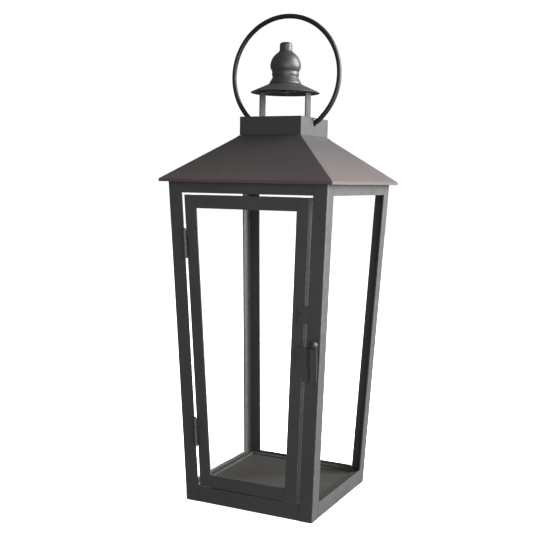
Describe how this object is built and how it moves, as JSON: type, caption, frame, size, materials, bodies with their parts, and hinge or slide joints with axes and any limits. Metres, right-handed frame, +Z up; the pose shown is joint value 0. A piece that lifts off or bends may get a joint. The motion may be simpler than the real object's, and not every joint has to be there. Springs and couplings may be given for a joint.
{
  "type": "candle lantern",
  "caption": "Tall tapered square candle lantern in dark painted sheet steel, with a hipped roof, vent cap, turned finial, ring handle and a hinged door with a turn bar.",
  "frame": {"origin": "centre of the base on the surface that the lantern stands on", "axes": "+Z up, -Y out of the door side, +X to the right of someone facing the door"},
  "size_m": [0.2274, 0.2274, 0.61],
  "materials": {
    "frame_paint": "matte",
    "roof_paint": "matte",
    "floor_paint": "matte",
    "finial_paint": "satin",
    "handle_paint": "satin",
    "fastener_steel": "satin"
  },
  "bodies": {
    "lantern_body": {"post_front_left": "frame_paint", "post_front_right": "frame_paint", "post_back_right": "frame_paint", "post_back_left": "frame_paint", "base_rail_front": "frame_paint", "base_rail_right": "frame_paint", "base_rail_back": "frame_paint", "base_rail_left": "frame_paint", "top_rail_front": "frame_paint", "top_rail_right": "frame_paint", "top_rail_back": "frame_paint", "top_rail_left": "frame_paint", "floor_pan": "floor_paint", "roof": "roof_paint", "chimney_collar": "roof_paint", "cap_bracket": "roof_paint", "bracket_rivet_left": "fastener_steel", "bracket_rivet_right": "fastener_steel", "vent_cap": "roof_paint", "cap_spacer": "fastener_steel", "finial": "finial_paint", "finial_stud": "fastener_steel", "upper_hinge_post_leaf": "frame_paint", "upper_hinge_pin": "fastener_steel", "lower_hinge_post_leaf": "frame_paint", "lower_hinge_pin": "fastener_steel", "turn_bar_spacer": "fastener_steel", "turn_bar_rivet": "fastener_steel"},
    "door": {"door_stile_hinge_side": "frame_paint", "door_stile_latch_side": "frame_paint", "door_rail_top": "frame_paint", "door_rail_bottom": "frame_paint", "upper_hinge_door_leaf": "frame_paint", "lower_hinge_door_leaf": "frame_paint", "door_stop_tab": "frame_paint", "door_stop_tab_rivet": "fastener_steel", "door_pull_tab": "frame_paint", "door_pull_tab_rivet": "fastener_steel"},
    "turn_bar": {"turn_bar": "frame_paint"},
    "ring_handle": {"ring_handle": "handle_paint"}
  },
  "joints": [
    {"name": "door_hinge", "type": "hinge", "parent": "lantern_body", "child": "door", "pos_m": [-0.0761, -0.0992, 0.2174], "axis": [0.0459, 0.0459, -0.9979], "range_deg": [0, 165]},
    {"name": "turn_bar_pivot", "type": "hinge", "parent": "lantern_body", "child": "turn_bar", "pos_m": [0.08997, -0.09657, 0.2168], "axis": [0, -0.9989, -0.046], "continuous": true},
    {"name": "handle_swing", "type": "hinge", "parent": "lantern_body", "child": "ring_handle", "pos_m": [0, 0, 0.4754], "axis": [1, 0, 0], "range_deg": [-114, 114]}
  ]
}
